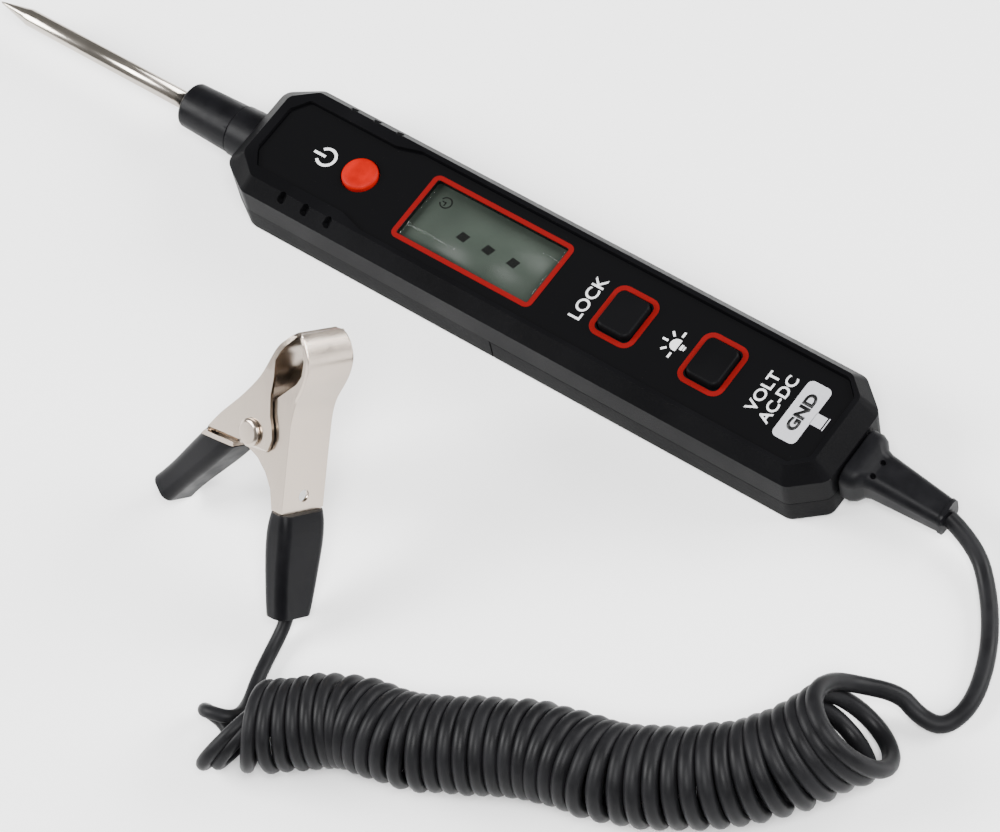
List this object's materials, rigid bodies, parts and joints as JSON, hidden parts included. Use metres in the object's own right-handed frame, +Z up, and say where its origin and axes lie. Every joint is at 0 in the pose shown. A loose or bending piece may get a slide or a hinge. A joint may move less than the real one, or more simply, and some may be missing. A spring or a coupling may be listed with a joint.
{
  "type": "circuit test light",
  "caption": "Pocket digital circuit tester with a needle probe, backlit display and keys, and a curly ground lead ending in a sprung clip.",
  "frame": {"origin": "under the middle of the tester, on the surface that it lies on", "axes": "+X towards the probe's tip, +Y towards the side that the lead lies on, +Z up out of the face"},
  "size_m": [0.2768, 0.1407, 0.0519],
  "materials": {
    "case_front": "smooth satin black",
    "case_back": "spark-eroded matte black",
    "screw_steel": "zinc plated",
    "face_gloss": "gloss black with printed legends",
    "display_clear": "clear polycarbonate",
    "lcd": "grey-green liquid crystal",
    "white_plastic": "milky light guide",
    "zebra": "layered connector rubber",
    "board_green": "glass-fibre laminate with solder mask",
    "chip_black": "moulded electronic parts",
    "switch_black": "plain black moulding",
    "power_orange": "orange-red silicone",
    "key_rubber": "satin black silicone",
    "cell_jacket": "printed cell jacket",
    "spring_steel": "nickel plated spring steel",
    "sleeve_vinyl": "satin black soft vinyl",
    "needle_steel": "polished, slightly warm",
    "brass": "turned",
    "wire_red": "wire insulation",
    "wire_black": "wire insulation",
    "cord_black": "satin black soft jacket",
    "clip_nickel": "nickel plated pressed steel"
  },
  "bodies": {
    "tester": {"front_shell": "case_front", "rear_shell": "case_back", "case_screws": "screw_steel", "face_plate": "face_gloss", "display_window": "display_clear", "lcd_glass": "lcd", "lcd_light_guide": "white_plastic", "lcd_connector": "zebra", "main_board": "board_green", "board_parts": "chip_black", "board_screws": "screw_steel", "tact_switches": "switch_black", "battery_tray": "switch_black", "battery_cells": "cell_jacket", "battery_contacts": "spring_steel", "battery_springs": "spring_steel", "nose_sleeve": "sleeve_vinyl", "probe_needle": "needle_steel", "probe_ferrule": "brass", "probe_wire": "wire_red", "ground_wire": "wire_black", "strain_relief": "sleeve_vinyl", "cord_clamp": "switch_black", "cord_lead": "cord_black", "cord_coil": "cord_black", "cord_tail": "cord_black", "clip_fixed_jaw": "clip_nickel", "clip_rivet": "clip_nickel", "clip_spring": "spring_steel", "clip_fixed_sleeve": "sleeve_vinyl", "crimp_lug": "clip_nickel"},
    "power_key": {"power_button": "power_orange", "power_plunger": "switch_black"},
    "hold_key": {"hold_button": "key_rubber", "hold_plunger": "switch_black"},
    "light_key": {"light_button": "key_rubber", "light_plunger": "switch_black"},
    "cover": {"battery_cover": "case_back", "cover_screw": "screw_steel"},
    "moving_jaw": {"clip_moving_jaw": "clip_nickel", "clip_moving_sleeve": "sleeve_vinyl", "clip_spring_leg": "spring_steel"}
  },
  "joints": [
    {"name": "power_press", "type": "slide", "parent": "tester", "child": "power_key", "axis": [0, 0, -1], "range_m": [0, 0.0006], "stiffness_N_per_m": 1500, "springref_m": -0.0002},
    {"name": "hold_press", "type": "slide", "parent": "tester", "child": "hold_key", "axis": [0, 0, -1], "range_m": [0, 0.0006], "stiffness_N_per_m": 1500, "springref_m": -0.0002},
    {"name": "light_press", "type": "slide", "parent": "tester", "child": "light_key", "axis": [0, 0, -1], "range_m": [0, 0.0006], "stiffness_N_per_m": 1500, "springref_m": -0.0002},
    {"name": "battery_cover_lift", "type": "slide", "parent": "tester", "child": "cover", "axis": [0, 0, -1], "range_m": [0, 0.02]},
    {"name": "clip_jaw", "type": "hinge", "parent": "tester", "child": "moving_jaw", "pos_m": [-0.0172, 0.0629, 0.0282], "axis": [0.2272, 0.7519, 0.6189], "range_deg": [0, 33], "stiffness_Nm_per_rad": 0.06, "springref_deg": -20.05}
  ]
}
